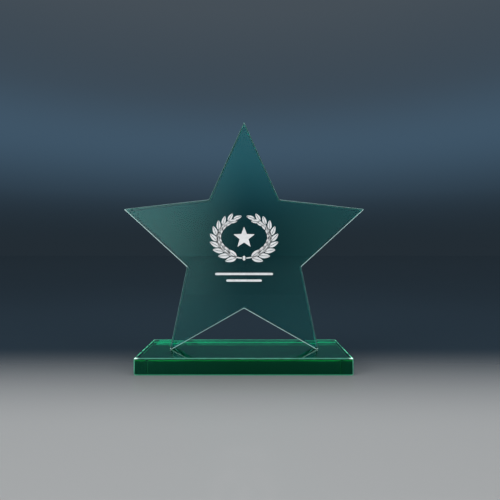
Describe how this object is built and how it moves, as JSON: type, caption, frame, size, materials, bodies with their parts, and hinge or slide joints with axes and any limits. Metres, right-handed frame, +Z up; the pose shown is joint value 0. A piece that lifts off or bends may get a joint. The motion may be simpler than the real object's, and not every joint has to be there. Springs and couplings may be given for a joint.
{
  "type": "star trophy",
  "caption": "Upright five-pointed star plate of green-tinted glass, bonded by two flat-ground feet to a rectangular glass base.",
  "frame": {"origin": "centre of the base's underside", "axes": "+Z up along the star's height, +X to the star's right as seen from the front, the star's front face looks along -Y"},
  "size_m": [0.1826, 0.06, 0.185],
  "materials": {
    "star_glass": "clear teal-tinted float glass with polished edges and arrises",
    "base_glass": "deep green float glass with polished edges and arrises",
    "adhesive": "clear cured adhesive film"
  },
  "bodies": {
    "root": {"star_plate": "star_glass", "base": "base_glass", "bond_left": "adhesive", "bond_right": "adhesive"}
  },
  "joints": []
}
